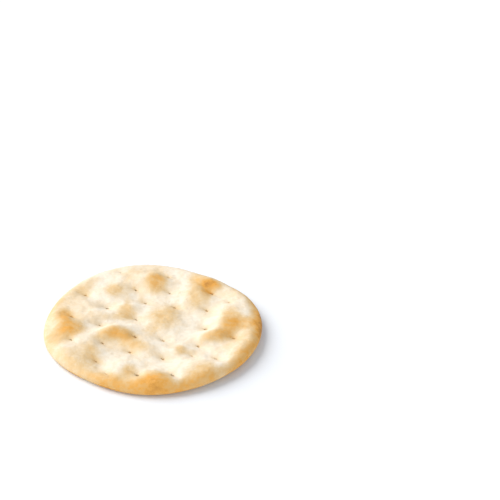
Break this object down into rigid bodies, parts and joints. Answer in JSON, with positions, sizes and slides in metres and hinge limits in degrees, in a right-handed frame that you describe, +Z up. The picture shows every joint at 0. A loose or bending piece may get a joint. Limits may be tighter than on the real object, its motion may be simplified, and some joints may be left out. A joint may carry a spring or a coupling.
{
  "type": "water cracker",
  "caption": "Thin round baked water cracker with rows of docker pricks, puffed blisters between them, a rounded toasted rim and a flat underside.",
  "frame": {"origin": "middle of the cracker's box at its base, on the surface that it lies on", "axes": "+Z up out of the top crust, +X to the right and -Y towards the viewer of the picture"},
  "size_m": [0.0608, 0.061, 0.0047],
  "materials": {
    "baked_crust": "matt baked crust, pale cream in the hollows and golden brown on the blisters and the rim"
  },
  "bodies": {
    "root": {"cracker": "baked_crust"}
  },
  "joints": []
}
